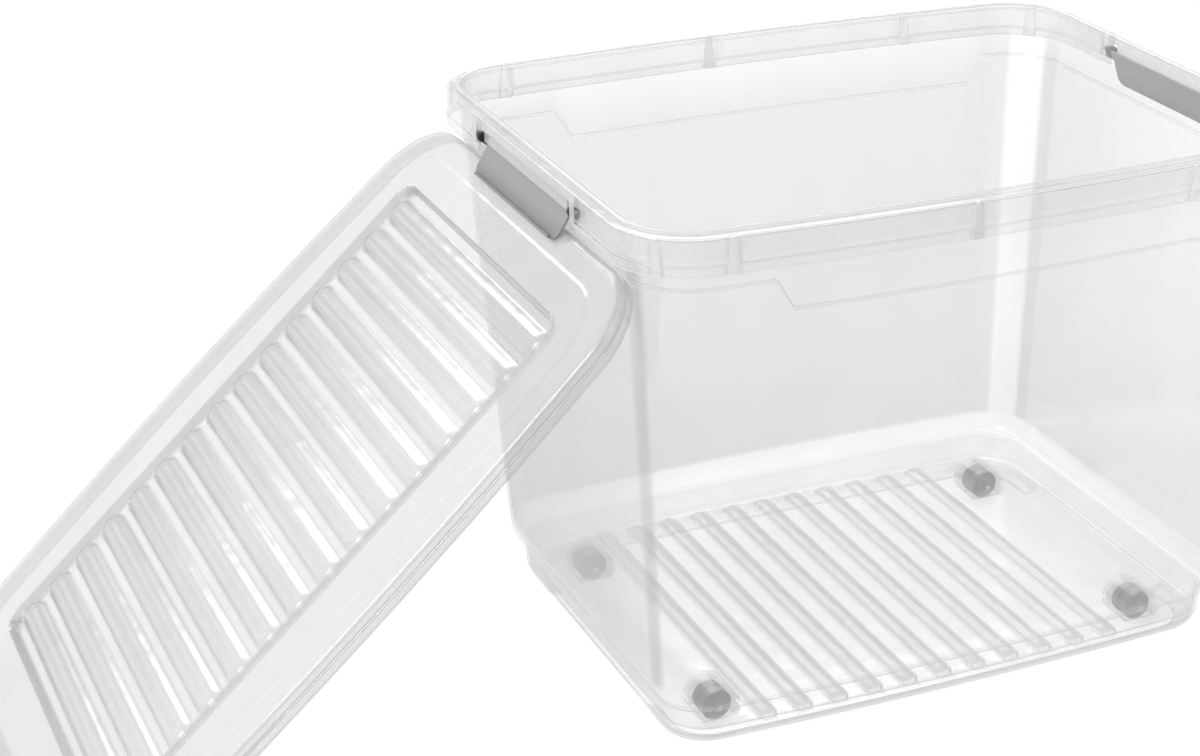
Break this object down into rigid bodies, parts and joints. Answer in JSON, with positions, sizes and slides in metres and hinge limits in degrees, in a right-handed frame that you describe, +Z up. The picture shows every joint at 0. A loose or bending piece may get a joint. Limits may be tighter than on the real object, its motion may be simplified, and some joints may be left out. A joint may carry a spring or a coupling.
{
  "type": "storage bin",
  "caption": "Clear rectangular storage bin on rollers, with a hinged grey clip at each end and its ribbed lid taken off and leaning on one end.",
  "frame": {"origin": "centre of the bin and its leaning lid together, on the floor", "axes": "+X from the leaning lid to the far end of the bin, +Z up"},
  "size_m": [0.8699, 0.4002, 0.3778],
  "materials": {
    "clear_pp": "clear, lightly hazed polypropylene",
    "grey_pp": "satin grey polypropylene",
    "roller_pp": "satin grey polypropylene",
    "axle_steel": "plain steel pin"
  },
  "bodies": {
    "bin": {"bin_body": "clear_pp", "axle_front_left": "axle_steel", "axle_back_left": "axle_steel", "axle_front_right": "axle_steel", "axle_back_right": "axle_steel"},
    "lid": {"lid": "clear_pp"},
    "clip_left": {"clip_left": "grey_pp"},
    "clip_right": {"clip_right": "grey_pp"},
    "roller_front_left": {"roller_front_left": "roller_pp"},
    "roller_back_left": {"roller_back_left": "roller_pp"},
    "roller_front_right": {"roller_front_right": "roller_pp"},
    "roller_back_right": {"roller_back_right": "roller_pp"}
  },
  "joints": [
    {"name": "clip_left_hinge", "type": "hinge", "parent": "bin", "child": "clip_left", "pos_m": [-0.06767, 0, 0.362], "axis": [0, 1, 0], "range_deg": [0, 147.9]},
    {"name": "clip_right_hinge", "type": "hinge", "parent": "bin", "child": "clip_right", "pos_m": [0.42833, 0, 0.362], "axis": [0, -1, 0], "range_deg": [0, 163]},
    {"name": "lid_draw", "type": "slide", "parent": "bin", "child": "lid", "axis": [0, -1, 0], "range_m": [0, 0.42]},
    {"name": "roller_front_left_spin", "type": "hinge", "parent": "bin", "child": "roller_front_left", "pos_m": [0.01343, -0.1097, 0.011], "axis": [0, 1, 0], "continuous": true},
    {"name": "roller_back_left_spin", "type": "hinge", "parent": "bin", "child": "roller_back_left", "pos_m": [0.01343, 0.1097, 0.011], "axis": [0, 1, 0], "continuous": true},
    {"name": "roller_front_right_spin", "type": "hinge", "parent": "bin", "child": "roller_front_right", "pos_m": [0.34723, -0.1097, 0.011], "axis": [0, 1, 0], "continuous": true},
    {"name": "roller_back_right_spin", "type": "hinge", "parent": "bin", "child": "roller_back_right", "pos_m": [0.34723, 0.1097, 0.011], "axis": [0, 1, 0], "continuous": true}
  ]
}
